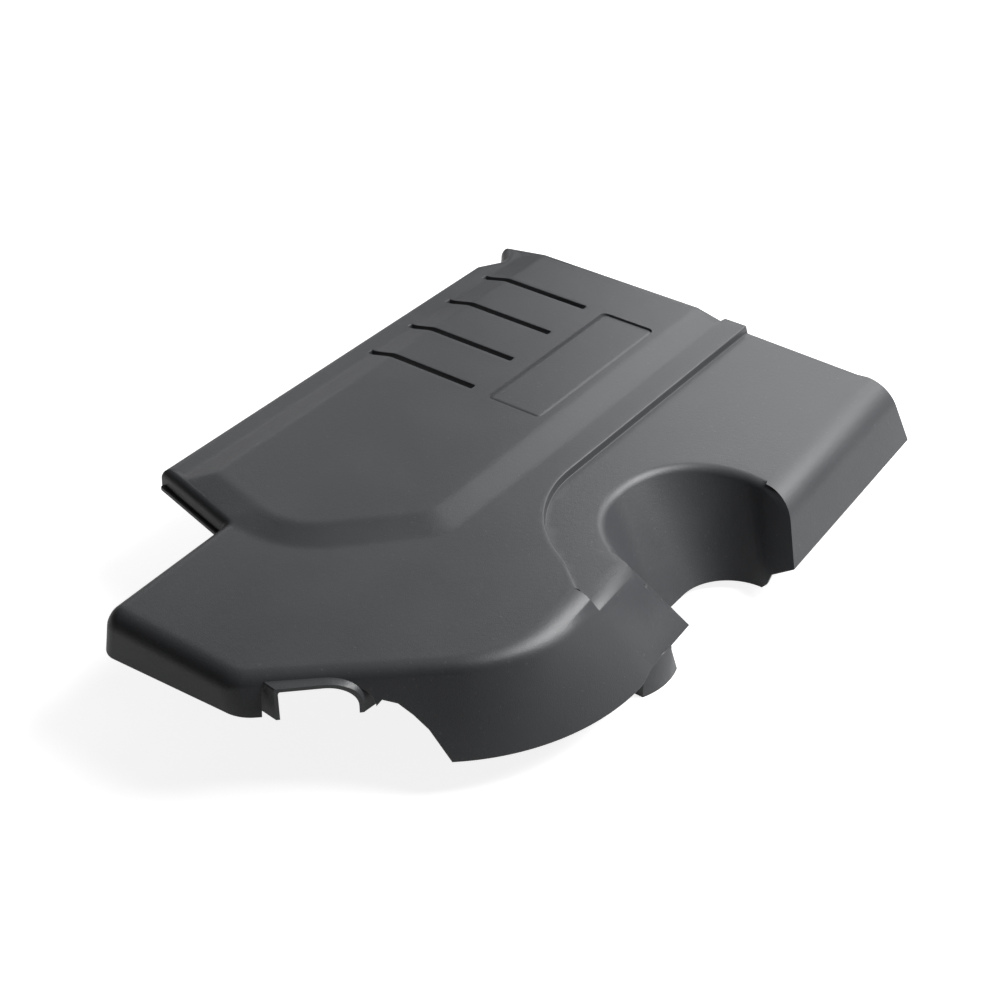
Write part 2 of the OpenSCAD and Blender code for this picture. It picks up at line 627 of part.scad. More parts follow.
module cover() {
    color(dark)
        translate([-post_front[0], -post_front[1], cover_h])
            difference() {
                union() {
                    shell();
                    hood_solid(0, -0.25, 1);
                    post(post_front, bite - wall);
                    post(post_back, bite - wall);
                    post(post_right, z_right(post_right[0]) + bite - wall);
                    leg();
                    lip();
                    ribs();
                }
                hood_solid(wall, -1.6, 1.3);
                recess();
                sockets();
            }
}

cover();
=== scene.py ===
"""Looks of a moulded engine cover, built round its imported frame.

Sizes are in millimetres and degrees. X runs from the cover's left edge, Y from its
front wall, and heights count from the raised panel. to_frame() turns them into metres.
"""

from __future__ import annotations

import logging
from collections.abc import Callable
from dataclasses import dataclass
from enum import Enum

import bpy
import numpy as np
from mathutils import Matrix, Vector
from mathutils.geometry import delaunay_2d_cdt


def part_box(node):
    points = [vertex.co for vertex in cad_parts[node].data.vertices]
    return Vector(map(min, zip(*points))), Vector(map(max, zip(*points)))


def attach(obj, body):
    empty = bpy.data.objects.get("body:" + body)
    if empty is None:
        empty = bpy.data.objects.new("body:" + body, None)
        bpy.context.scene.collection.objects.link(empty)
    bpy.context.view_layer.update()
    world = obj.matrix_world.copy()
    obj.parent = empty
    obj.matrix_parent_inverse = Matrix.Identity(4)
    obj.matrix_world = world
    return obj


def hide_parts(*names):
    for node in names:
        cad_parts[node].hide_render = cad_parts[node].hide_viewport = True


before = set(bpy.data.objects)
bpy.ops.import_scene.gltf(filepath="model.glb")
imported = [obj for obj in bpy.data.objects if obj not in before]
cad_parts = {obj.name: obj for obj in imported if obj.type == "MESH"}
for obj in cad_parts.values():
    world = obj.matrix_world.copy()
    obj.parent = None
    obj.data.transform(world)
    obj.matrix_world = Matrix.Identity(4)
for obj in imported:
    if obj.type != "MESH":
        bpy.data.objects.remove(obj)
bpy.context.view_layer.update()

log = logging.getLogger("engine_cover")
Array = np.ndarray
Height = Callable[[Array], Array]


class Level(Enum):
    """The surface that a stretch of the outline belongs to."""

    PANEL = 1
    PLATE = 2
    RIGHT = 3
    BLEND = 4


class Cut(Enum):
    """How the sections of two walls meet at a corner."""

    NONE = 0
    NEXT = 1
    LAST = 2


class Skin(Enum):
    """The two faces of the moulded wall."""

    OUTER = 0
    INNER = 1


@dataclass(frozen=True)
class CoverSizes:
    """Driving sizes of the moulding, the same as its solid's."""

    height: float = 95.0
    width: float = 385.0
    length: float = 574.0
    wall: float = 2.8
    panel_x: float = 201.5
    panel_y: float = 158.0
    shoulder_w: float = 45.0
    shoulder_drop: float = 11.5
    plank_angle: float = 13.0
    corner_angle: float = 46.0
    band_w: float = 22.0
    band_drop: float = 5.0
    left_fillet: float = 8.0
    left_depth: float = 28.0
    plank_depth: float = 21.0
    lip_out: float = 1.6
    plate_x: float = 85.0
    plate_y: float = 122.0
    front_l: float = 118.0
    diagonal_angle: float = 42.0
    front_depth: float = 36.0
    flap_x: float = 344.0
    flap_draft: float = 34.0
    skirt_draft: float = 21.0
    skirt_r: float = 95.0
    skirt_depth: float = 68.0
    hood_s: float = 18.0
    hood_w: float = 80.0
    hood_out: float = 13.0
    hood_depth: float = 9.0
    strip_w: float = 23.0
    step_h: float = 6.5
    step_r: float = 102.0
    plate_fall: float = 2.7
    tab_l: float = 5.5
    right_fillet: float = 30.0
    right_draft: float = 25.0
    right_depth: float = 61.0
    bay_x: float = 352.5
    bay_y: float = 333.0
    bay_r: float = 68.0
    near_draft: float = 20.0
    far_draft: float = 18.0
    bay_depth: float = 88.0
    slot_n: int = 4
    slot_pitch: float = 51.5
    slot_l: float = 105.0
    slot_w: float = 5.5
    slot_back: float = 58.0
    slot_right: float = 126.0
    recess_x: float = 143.0
    recess_y: float = 356.0
    recess_l: float = 163.0
    recess_w: float = 50.0
    recess_d: float = 1.2
    post_d: float = 26.0
    socket_d: float = 19.0
    socket_l: float = 14.0
    core_d: float = 14.0
    core_top: float = 10.0
    leg_l: float = 48.0
    rib_h: float = 10.0
    rib_t: float = 1.8
    bite: float = 1.3


SIZES = CoverSizes()
POST_FRONT = np.array([77.0, 235.0])
POST_BACK = np.array([65.0, 490.0])
POST_RIGHT = np.array([317.0, 520.0])
LEG_AT = np.array([359.0, 252.0])


def to_frame(points: Array) -> Array:
    """Moves points from the cover's own millimetres to the frame's metres."""
    return (points + [-POST_FRONT[0], -POST_FRONT[1], SIZES.height]) / 1000.0


def unit(v: Array) -> Array:
    """The vector divided by its length."""
    return v / np.linalg.norm(v)


def left_of(v: Array) -> Array:
    """The plan vector turned a quarter to the left."""
    return np.array([-v[1], v[0]])


def cross2(a: Array, b: Array) -> float:
    """The height component of two plan vectors' cross product."""
    return a[0] * b[1] - a[1] * b[0]


def heading(angle: float) -> Array:
    """The plan direction at an angle in degrees from X."""
    return np.array([np.cos(np.radians(angle)), np.sin(np.radians(angle))])


def meet(p: Array, a: float, q: Array, b: float) -> Array:
    """The point where the line through p towards angle a meets the one through q towards b."""
    return p + heading(a) * cross2(q - p, heading(b)) / np.sin(np.radians(b - a))


def bend(a: Array, p: Array, b: Array, r: float, steps: int) -> Array:
    """Points of an arc of radius r that rounds the plan corner p between a and b.

    Returns:
        An array of steps + 1 points, from the side of a to the side of b.
    """
    u1, u2 = unit(p - a), unit(b - p)
    turn = np.arctan2(cross2(u1, u2), u1 @ u2)
    start = p - u1 * r * np.tan(abs(turn) / 2)
    f = abs(turn) * np.linspace(0, 1, steps + 1)[:, None]
    return start + r * (np.sin(f) * u1 + (1 - np.cos(f)) * left_of(u1) * np.sign(turn))


def distance_to_loop(points: Array, loop: Array) -> Array:
    """Plan distance from each point to the nearest side of a closed loop."""
    best = np.full(len(points), np.inf)
    for a, b in zip(loop, np.roll(loop, -1, axis=0)):
        side = b - a
        along = np.clip((points - a) @ side / max(side @ side, 1e-12), 0, 1)
        best = np.minimum(best, np.linalg.norm(points - a - along[:, None] * side, axis=1))
    return best


def inside_loop(points: Array, loop: Array) -> Array:
    """Whether each plan point is inside a closed loop, by counting crossings towards +X."""
    inside = np.zeros(len(points), bool)
    x, y = points.T
    for (ax, ay), (bx, by) in zip(loop, np.roll(loop, -1, axis=0)):
        if ay != by:
            crosses = (ay > y) != (by > y)
            inside ^= crosses & (x < (bx - ax) * (y - ay) / (by - ay) + ax)
    return inside


def rounded_rectangle(low: Array, high: Array, r: float, spacing: float) -> Array:
    """An anticlockwise loop round a rectangle whose corners are quarter circles of radius r."""
    centres = [(high[0] - r, high[1] - r), (low[0] + r, high[1] - r),
               (low[0] + r, low[1] + r), (high[0] - r, low[1] + r)]
    loop = []
    for quarter, centre in enumerate(centres):
        angles = np.radians(np.linspace(0, 90, 5) + 90 * quarter)
        arc = np.array(centre) + r * np.stack([np.cos(angles), np.sin(angles)], 1)
        after = np.array(centres[(quarter + 1) % 4])
        after = after + r * np.array([np.cos(angles[-1]), np.sin(angles[-1])])
        count = max(int(np.linalg.norm(after - arc[-1]) / spacing), 1)
        side = arc[-1] + (after - arc[-1]) * np.linspace(0, 1, count + 1)[1:-1, None]
        loop.append(np.concatenate([arc, side]))
    return np.concatenate(loop)


class Patchwork:
    """A mesh put together from patches whose shared points are equal."""

    def __init__(self) -> None:
        """Starts with no patches."""
        self.points: list[Array] = []
        self.faces: list[list[int]] = []
        self.count = 0

    def add(self, points: Array, faces: Array, flip: bool = False) -> None:
        """Adds a patch.

        Args:
            points: Its points, as rows of X, Y and Z.
            faces: Its faces, as rows of indexes into points.
            flip: Whether the faces are turned over.
        """
        faces = np.asarray(faces)[:, ::-1] if flip else np.asarray(faces)
        self.points.append(points.reshape(-1, 3))
        self.faces += (faces + self.count).tolist()
        self.count += len(self.points[-1])

    def add_grid(self, grid: Array, closed: bool = False, flip: bool = False) -> None:
        """Adds a grid of points [row, column] as quads, joined round its rows if closed."""
        rows, columns = grid.shape[:2]
        index = np.arange(rows * columns).reshape(rows, columns)
        a = index if closed else index[:-1]
        b = np.roll(index, -1, axis=0) if closed else index[1:]
        quads = np.stack([a[:, :-1], b[:, :-1], b[:, 1:], a[:, 1:]], -1).reshape(-1, 4)
        self.add(grid, quads, flip)

    def add_tube(self, grid: Array, flip: bool = False) -> None:
        """Adds a grid closed round its columns, with a face over its first and last rows."""
        self.add_grid(np.concatenate([grid, grid[:, :1]], axis=1), flip=flip)
        ring = np.arange(grid.shape[1])[None]
        self.add(grid[0], ring, not flip)
        self.add(grid[-1], ring, flip)

    def build(self, name: str, smooth: float = 40.0) -> bpy.types.Object:
        """Makes the object: equal points are joined and edges past an angle stay sharp.

        Args:
            name: The piece's name.
            smooth: Largest angle in degrees that is shaded smooth.

        Returns:
            The new object, linked to the scene.
        """
        points = np.concatenate(self.points)
        _, first, same = np.unique(np.round(points, 4), axis=0, return_index=True,
                                   return_inverse=True)
        same = same.ravel()
        faces = [list(dict.fromkeys(same[face].tolist())) for face in self.faces]
        mesh = bpy.data.meshes.new(name)
        mesh.from_pydata(to_frame(points[first]).tolist(), [], [f for f in faces if len(f) > 2])
        mesh.shade_smooth()
        mesh.set_sharp_from_angle(angle=np.radians(smooth))
        mesh.update()
        piece = bpy.data.objects.new(name, mesh)
        bpy.context.scene.collection.objects.link(piece)
        return piece


@dataclass
class Corner:
    """One corner of the outline, with the wall that leaves it."""

    place: Array
    radius: float
    depth: float
    draft: float
    fillet: float
    level: Level
    flare: float = 0.0
    cut: Cut = Cut.NONE
    rake: float = 0.0
    heading: Array | None = None


@dataclass(frozen=True)
class StepSection:
    """The section of the step: a rounded edge, a steep face and a tight foot."""

    edge_r: float = 1.3
    foot_r: float = 0.6
    width: float = 2.2
    steep: float = 88.0
    points: int = 5

    def rows(self) -> tuple[Array, Array, Array]:
        """Arcs of the edge and foot.

        Returns:
            Plan offsets from the upper plate, drops from the upper plate, and the weight
            with which the foot's height replaces the plate's.
        """
        edge = np.radians(np.linspace(0, self.steep, self.points))
        foot = edge[::-1]
        across = np.concatenate([self.edge_r * np.sin(edge),
                                 self.width - self.foot_r * np.sin(foot)])
        drop = np.concatenate([self.edge_r * (1 - np.cos(edge)),
                               -self.foot_r * (1 - np.cos(foot))])
        weight = np.concatenate([np.zeros(self.points), np.ones(self.points)])
        return across, drop, weight


class CoverForm:
    """The cover's levels, its outline and the rings that run round its walls."""

    arc_n = 12
    min_r = 0.5
    blur = 0.9

    def __init__(self, s: CoverSizes) -> None:
        """Works out the named places of the outline from the sizes."""
        self.s = s
        self.step = StepSection()
        self.z_plate = -s.band_drop
        self.band_x = s.panel_x + s.band_w
        self.step_x = self.band_x + s.strip_w
        self.back_y = s.length + s.tab_l
        self.corner_a = np.array([s.plate_x, s.plate_y])
        self.panel_front = np.array([s.shoulder_w, s.panel_y])
        tilt = np.radians(s.plank_angle)
        self.ahead = np.array([np.sin(tilt), np.cos(tilt)])
        self.plank_slope = s.band_drop / ((self.panel_front - self.corner_a) @ self.ahead)
        self.shoulder_slope = s.shoulder_drop / s.shoulder_w
        self.front_right = np.array([s.plate_x + s.front_l, 0.0])
        self.diagonal = heading(s.diagonal_angle)
        rise = (s.flap_x - self.front_right[0]) * np.tan(np.radians(s.diagonal_angle))
        self.skirt_top = np.array([s.flap_x, rise])
        flap_lean = 6
        self.flap_u = unit(np.array([s.flap_x - flap_lean, s.bay_y - s.bay_r]) - self.skirt_top)
        self.flap_angle = np.degrees(np.arctan2(self.flap_u[1], self.flap_u[0]))
        self.step_centre = np.array([self.step_x + s.step_r, s.bay_y - 13])
        self.step_sweep = 65
        self.near_turn = 30
        near_shift = 4.5
        turn = np.radians(self.near_turn)
        self.near_touch = np.array([s.bay_x - s.bay_r * np.sin(turn),
                                    s.bay_y - near_shift - s.bay_r * np.cos(turn)])
        self.plank_line = np.array([3.0, 142.0])
        self.plank_dir = unit(self.corner_a - self.plank_line)
        self.band_edges()
        self.map_heights()

    def band_edges(self) -> None:
        """The plan lines along the top and the foot of the chamfer band."""
        s, steps = self.s, 14
        corner_b = np.array([s.panel_x, 211.0])
        self.panel_a = meet(self.panel_front, -s.plank_angle, corner_b, s.corner_angle)
        slope = np.tan(np.radians(s.corner_angle))
        panel_b = np.array([s.panel_x, self.panel_a[1] + (s.panel_x - self.panel_a[0]) * slope])
        lower_a = np.array([self.panel_a[0] + 15.5, s.plate_y - 1])
        slope = np.tan(np.radians(s.corner_angle + 0.7))
        lower_b = np.array([self.band_x, lower_a[1] + (self.band_x - lower_a[0]) * slope])
        far = 2 * s.length
        upper_end, lower_end = np.array([s.panel_x, far]), np.array([self.band_x, far])
        start = self.corner_a + np.array([4.5, -0.6])
        self.upper = np.concatenate([bend(self.panel_front, self.panel_a, panel_b, 50, steps),
                                     bend(self.panel_a, panel_b, upper_end, 23, steps),
                                     [upper_end]])
        self.lower = np.concatenate([bend(start, lower_a, lower_b, 80, steps),
                                     bend(lower_a, lower_b, lower_end, 28, steps),
                                     [lower_end]])
        self.band_start = start

    def z_panel(self, xy: Array) -> Array:
        """Height of the raised panel's three planes, whichever is lowest at a place."""
        shoulder = (xy[..., 0] - self.s.shoulder_w) * self.shoulder_slope
        plank = -((self.panel_front - xy) @ self.ahead) * self.plank_slope
        return np.minimum(0, np.minimum(shoulder, plank))

    def z_right(self, xy: Array) -> Array:
        """Height of the right plate, a plane that falls towards its right wall."""
        return (self.z_plate - self.s.step_h
                - (xy[..., 0] - self.step_x) * self.s.plate_fall / 100)

    def map_heights(self) -> None:
        """Heights of panel, band and plate on a millimetre grid, with their creases softened.

        The band is a strip of triangles between its two edges. A Gaussian blur along X
        and then Y rounds every crease to about three times its spread.
        """
        self.map_low = np.array([-60.0, -60.0])
        x, y = np.arange(-60, 460), np.arange(-60, 680)
        xy = np.stack(np.meshgrid(x, y, indexing="ij"), -1).astype(float)
        z = np.full(xy.shape[:2], self.z_plate)
        up = np.column_stack([self.upper, np.zeros(len(self.upper))])
        low = np.column_stack([self.lower, np.full(len(self.lower), self.z_plate)])
        raised = np.concatenate([[[-60, -60], [self.corner_a[0], -60]], [self.corner_a],
                                 self.upper, [[-60, 2 * self.s.length]]])
        flat = xy.reshape(-1, 2)
        panel = inside_loop(flat, raised).reshape(z.shape)
        z[panel] = np.maximum(self.z_panel(xy[panel]), self.z_plate)
        foot = np.append(self.corner_a, self.z_plate)
        triangles = [(up[0], foot, low[0])]
        for i in range(len(up) - 1):
            triangles += [(up[i], low[i], low[i + 1]), (up[i], low[i + 1], up[i + 1])]
        for a, b, c in triangles:
            area = cross2(b - a, c - a)
            if abs(area) < 1e-9:
                continue
            to = xy - a[:2]
            v = (to[..., 0] * (c - a)[1] - to[..., 1] * (c - a)[0]) / area
            w = (to[..., 1] * (b - a)[0] - to[..., 0] * (b - a)[1]) / area
            hit = (v >= 0) & (w >= 0) & (v + w <= 1)
            z[hit] = (a[2] + v * (b[2] - a[2]) + w * (c[2] - a[2]))[hit]
        reach = np.arange(-8, 9)
        kernel = np.exp(-0.5 * (reach / self.blur) ** 2)
        kernel /= kernel.sum()
        for axis in (0, 1):
            padded = np.pad(z, [(8, 8) if a == axis else (0, 0) for a in (0, 1)], mode="reflect",
                            reflect_type="odd")
            z = sum(weight * np.take(padded, np.arange(z.shape[axis]) + 8 + shift, axis)
                    for weight, shift in zip(kernel, reach))
        self.height_map = z

    def z_top(self, xy: Array) -> Array:
        """Height of panel, band or plate at a place, read between the map's points."""
        at = np.clip(xy - self.map_low, 0, np.array(self.height_map.shape) - 2)
        i = at.astype(int)
        f = at - i
        m = self.height_map
        x, y = i[..., 0], i[..., 1]
        near = m[x, y] * (1 - f[..., 0]) + m[x + 1, y] * f[..., 0]
        far = m[x, y + 1] * (1 - f[..., 0]) + m[x + 1, y + 1] * f[..., 0]
        return near * (1 - f[..., 1]) + far * f[..., 1]

    def level_z(self, level: Level, xy: Array, t: Array) -> Array:
        """Height of the sharp-edged level that a stretch of the outline belongs to."""
        if level is Level.PANEL:
            return self.z_panel(xy)
        if level is Level.PLATE:
            return np.full(xy.shape[:-1], self.z_plate)
        if level is Level.RIGHT:
            return self.z_right(xy)
        return (self.z_panel(xy) * np.maximum(1 - 2 * t, 0)
                + self.z_plate * np.minimum(2 * t, 1))

    def section(self, draft: float, fillet: float, deep: float, skin: Skin) -> Array:
        """Inset and drop of each ring of a wall.

        Ring 0 is the lower edge of a wall that leans out by its draft. The others run up
        an arc of the fillet's radius, tangent to the wall and to the level.

        Returns:
            An array of [ring, inset and drop].
        """
        t = self.s.wall * skin.value
        r = max(fillet - t, 1.0)
        d = np.radians(draft)
        reach = r * np.tan((np.pi / 2 - d) / 2)
        edge = t * (1 - np.sin(d)) / np.cos(d)
        phi = (np.pi / 2 - d) * np.linspace(0, 1, self.arc_n + 1)
        inset = edge - reach * np.sin(d) + r * (np.cos(d) - np.cos(d + phi))
        drop = t + reach * np.cos(d) - r * (np.sin(d + phi) - np.sin(d))
        foot = [t / np.cos(d) - np.tan(d) * deep, deep]
        return np.concatenate([[foot], np.stack([inset, drop], 1)])

    def plane_inset(self, draft: float, drop: Array, skin: Skin) -> Array:
        """Inset of a wall's plane at some drops."""
        d = np.radians(draft)
        return skin.value * self.s.wall / np.cos(d) - np.tan(d) * drop

    def step_arc(self, grow: float, count: int) -> Array:
        """Plan points of the step's bend round the bay, grown outwards."""
        a = np.radians(np.linspace(0, self.step_sweep, count))
        spokes = np.stack([np.cos(a), np.sin(a)], 1)
        return self.step_centre - (self.s.step_r + grow) * spokes

    def hood_depths(self) -> list[tuple[float, float]]:
        """Places along the diagonal and depths of the wall's edge round the hood's arch."""
        s = self.s
        side = s.wall / s.hood_w * 1.35
        top = s.hood_depth + s.wall + 1.6
        arc = np.radians(np.linspace(8, 90, 10))
        places = [(side - 0.004, s.front_depth - 5), (side, top), (0.3, top), (0.56, top)]
        places += [(0.56 + (0.44 - side) * np.sin(a), top + 17 * (1 - np.cos(a)) - 1.6)
                   for a in arc]
        return [(s.hood_s + s.hood_w * p, max(depth, top)) for p, depth in places]

    def corners(self, skin: Skin) -> list[Corner]:
        """The outline's corners, anticlockwise from the plank's right end."""
        s = self.s
        g = s.wall * skin.value
        d = self.step
        ease = d.edge_r
        across = s.skirt_draft
        start = self.step_arc(g + ease, 2)[-1]
        end = meet(start, -29, self.skirt_top, self.flap_angle)
        fall = self.z_plate - self.z_right(end)
        low = (end + self.flap_u * d.width
               - left_of(self.flap_u) * np.tan(np.radians(s.flap_draft)) * fall)
        flap_depth = s.skirt_depth - 3
        hood_end = s.hood_s + s.hood_w
        near_u = heading(-self.near_turn)
        bay_left = s.bay_x - s.bay_r
        turn = np.tan(np.radians(self.near_turn))
        near_corner = [bay_left, self.near_touch[1] + (self.near_touch[0] - bay_left) * turn]
        far_y = s.bay_y + s.bay_r
        notch = s.width - 23.5
        corner_draft = s.far_draft + 9
        right_lean, small = 8, 3
        n = left_of(self.plank_dir)
        grad = (np.array([self.shoulder_slope, 0]), self.plank_slope * self.ahead)
        crease = left_of(grad[0] - grad[1])
        inset = self.section(6, 6, s.plank_depth, skin)[-1, 0]
        base = self.plank_line + n * inset - self.panel_front
        crease_end = (self.panel_front - n * inset
                      + crease * cross2(base, self.plank_dir) / cross2(crease, self.plank_dir))

        def along(distance: float) -> Array:
            """A place on the diagonal wall's top line."""
            return self.front_right + distance * self.diagonal

        c, lv = Corner, Level
        return [
            c(self.corner_a, 2, s.plank_depth + 2, 5, 13, lv.BLEND),
            c(np.array([s.plate_x + 4.5, 0]), 14, s.front_depth + 2, 8, 15, lv.PLATE),
            c(self.front_right, 22, s.front_depth - 5, across, 12, lv.PLATE, 1),
            c(along(s.hood_s), 0, s.front_depth - 5, across, 12, lv.PLATE),
            *[c(along(place), 0, depth, across, 12, lv.PLATE)
              for place, depth in self.hood_depths()],
            c(along(hood_end), 0, 25, across, 12, lv.PLATE),
            c(along(hood_end + 10), 0, 28, across, 12, lv.PLATE),
            c(along(hood_end + 17), 0, 36, across, 12, lv.PLATE, rake=2.5),
            c(along(hood_end + 25), 0, 46, across, 12, lv.PLATE, rake=4),
            c(along(hood_end + 35), 0, s.skirt_depth, across, 12, lv.PLATE, rake=8),
            c(self.skirt_top, s.skirt_r, s.skirt_depth, s.flap_draft, 24, lv.PLATE, 2.25),
            c(end, 0, flap_depth, s.flap_draft, 24, lv.PLATE, rake=20, heading=self.flap_u),
            c(low, 0, flap_depth, s.flap_draft, 16, lv.RIGHT, rake=20, heading=self.flap_u),
            c(meet(low, self.flap_angle, self.near_touch, -self.near_turn), 0, flap_depth - 1,
              s.near_draft, 8, lv.RIGHT, cut=Cut.NEXT, rake=25.5),
            c(self.near_touch + 3 * near_u, 0, s.skirt_depth + 4, s.near_draft, 8, lv.RIGHT,
              rake=-25),
            c(np.array(near_corner), s.bay_r, s.bay_depth, 37, 10, lv.RIGHT, 1),
            c(np.array([bay_left, far_y]), s.bay_r, s.bay_depth, s.far_draft, 8, lv.RIGHT, -1),
            c(np.array([notch, far_y]), 0, s.bay_depth - 7, corner_draft, 8, lv.RIGHT, rake=27),
            c(np.array([notch + 3.3, far_y]), 0, s.right_depth + 9, corner_draft, 8, lv.RIGHT,
              rake=27),
            c(np.array([s.width, far_y]), 0, s.right_depth, s.right_draft, s.right_fillet,
              lv.RIGHT, cut=Cut.LAST),
            c(np.array([s.width - right_lean, self.back_y]), 0, s.right_depth, 4, small,
              lv.RIGHT, cut=Cut.NEXT),
            c(np.array([s.width - right_lean - s.right_fillet, self.back_y]), 0,
              s.right_depth - 2, 4, small, lv.RIGHT),
            c(np.array([self.step_x - g - ease + d.width, self.back_y]), 0, 42, 4, small,
              lv.RIGHT),
            c(np.array([self.step_x - g - ease, self.back_y]), 0, 40, 4, small, lv.PLATE),
            c(np.array([self.band_x + 1, self.back_y]), 2, 36, 4, small, lv.PLATE),
            c(np.array([self.band_x, s.length]), 0, 35, 4, small, lv.PLATE),
            c(np.array([s.panel_x, s.length]), 0, 33, 4, small, lv.PANEL),
            c(np.array([s.shoulder_w, s.length]), 0, 30, 4, small, lv.PANEL),
            c(np.array([-3, s.length]), 3, s.left_depth, 4, s.left_fillet, lv.PANEL),
            c(np.array([14, s.length - 21]), 7, s.left_depth, 4, s.left_fillet, lv.PANEL),
            c(np.array([0.5, s.length - 44]), 6, s.left_depth, 4, s.left_fillet, lv.PANEL),
            c(self.plank_line, 4, s.plank_depth, 6, 6, lv.PANEL),
            c(crease_end, 0, s.plank_depth, 6, 6, lv.PANEL),
        ]

    def corner_rings(self, corners: list[Corner], j: int, skin: Skin) -> Array:
        """Points [place round the corner, ring, XYZ] at one corner.

        The two walls' sections are set in from their lines, meet at a mitre and are then
        rounded by an arc whose radius shrinks or grows with the inset.
        """
        b, c, d = corners[j - 1], corners[j], corners[(j + 1) % len(corners)]
        u1 = unit(c.place - b.place) if c.heading is None else c.heading
        u2 = unit(d.place - c.place) if c.heading is None else c.heading
        turn = np.arctan2(cross2(u1, u2), u1 @ u2)
        steps = 0 if c.radius == 0 else 36 if c.radius > 50 else 14 if c.radius > 10 else 8
        t = np.linspace(0, 1, steps + 1)[:, None] if steps else np.array([[0.5]])
        deep = self.level_z(c.level, c.place, t) + c.depth
        r1 = np.stack([self.section(b.draft, b.fillet, x, skin) for x in np.ravel(deep * t ** 0)])
        r2 = np.stack([self.section(c.draft, c.fillet, x, skin) for x in np.ravel(deep * t ** 0)])
        s1, s2 = r1.copy(), r2.copy()
        if c.cut is Cut.LAST:
            s1 = np.stack([self.plane_inset(b.draft, r2[..., 1], skin), r2[..., 1]], -1)
        if c.cut is Cut.NEXT:
            s2 = np.stack([self.plane_inset(c.draft, r1[..., 1], skin), r1[..., 1]], -1)
        n1 = left_of(u1)
        mean = (s1[..., 0] + s2[..., 0]) / 2
        slip = np.zeros_like(mean)
        slip[:, 0] = c.rake
        if abs(turn) < np.radians(1.5):
            xy = c.place + n1 * mean[..., None] + u1 * slip[..., None]
            xy = xy + np.zeros((len(t), 1, 1))
        else:
            across = (s1[..., 0] * np.cos(turn) - s2[..., 0]) / np.sin(turn) + slip
            mitre = c.place + n1 * s1[..., :1] + u1 * across[..., None]
            if c.flare < 0:
                near = np.stack([self.section(self.s.near_draft, 8, x, skin)[:, 0]
                                 for x in np.ravel(deep * t ** 0)])
                grow = (near + r2[..., 0]) / 2
            else:
                grow = np.where(mean < 0, mean * c.flare, mean)
            rk = np.zeros_like(mean)
            if c.radius:
                rk = np.maximum(c.radius - np.sign(turn) * grow, self.min_r)
            f = abs(turn) * t
            back = rk * np.tan(abs(turn) / 2)
            xy = (mitre - u1 * back[..., None]
                  + (rk * np.sin(f))[..., None] * u1
                  + (rk * (1 - np.cos(f)))[..., None] * np.sign(turn) * n1)
        drop = s1[..., 1] * (1 - t) + s2[..., 1] * t
        z = self.level_z(c.level, xy, t) - drop
        z[:, 0] = -c.depth
        if c.level is not Level.RIGHT:
            top = self.z_top(xy[:, -1]) - self.s.wall * skin.value
            z[:, 1:] += (top - z[:, -1])[:, None]
        return np.concatenate([xy, z[..., None]], -1)

    def rings(self, skin: Skin) -> tuple[Array, list[slice]]:
        """All rings of one skin.

        Returns:
            The points [station, ring, XYZ] and each corner's stations.
        """
        corners = self.corners(skin)
        parts = [self.corner_rings(corners, j, skin) for j in range(len(corners))]
        ends = np.cumsum([len(p) for p in parts])
        return np.concatenate(parts), [slice(e - len(p), e) for e, p in zip(ends, parts)]


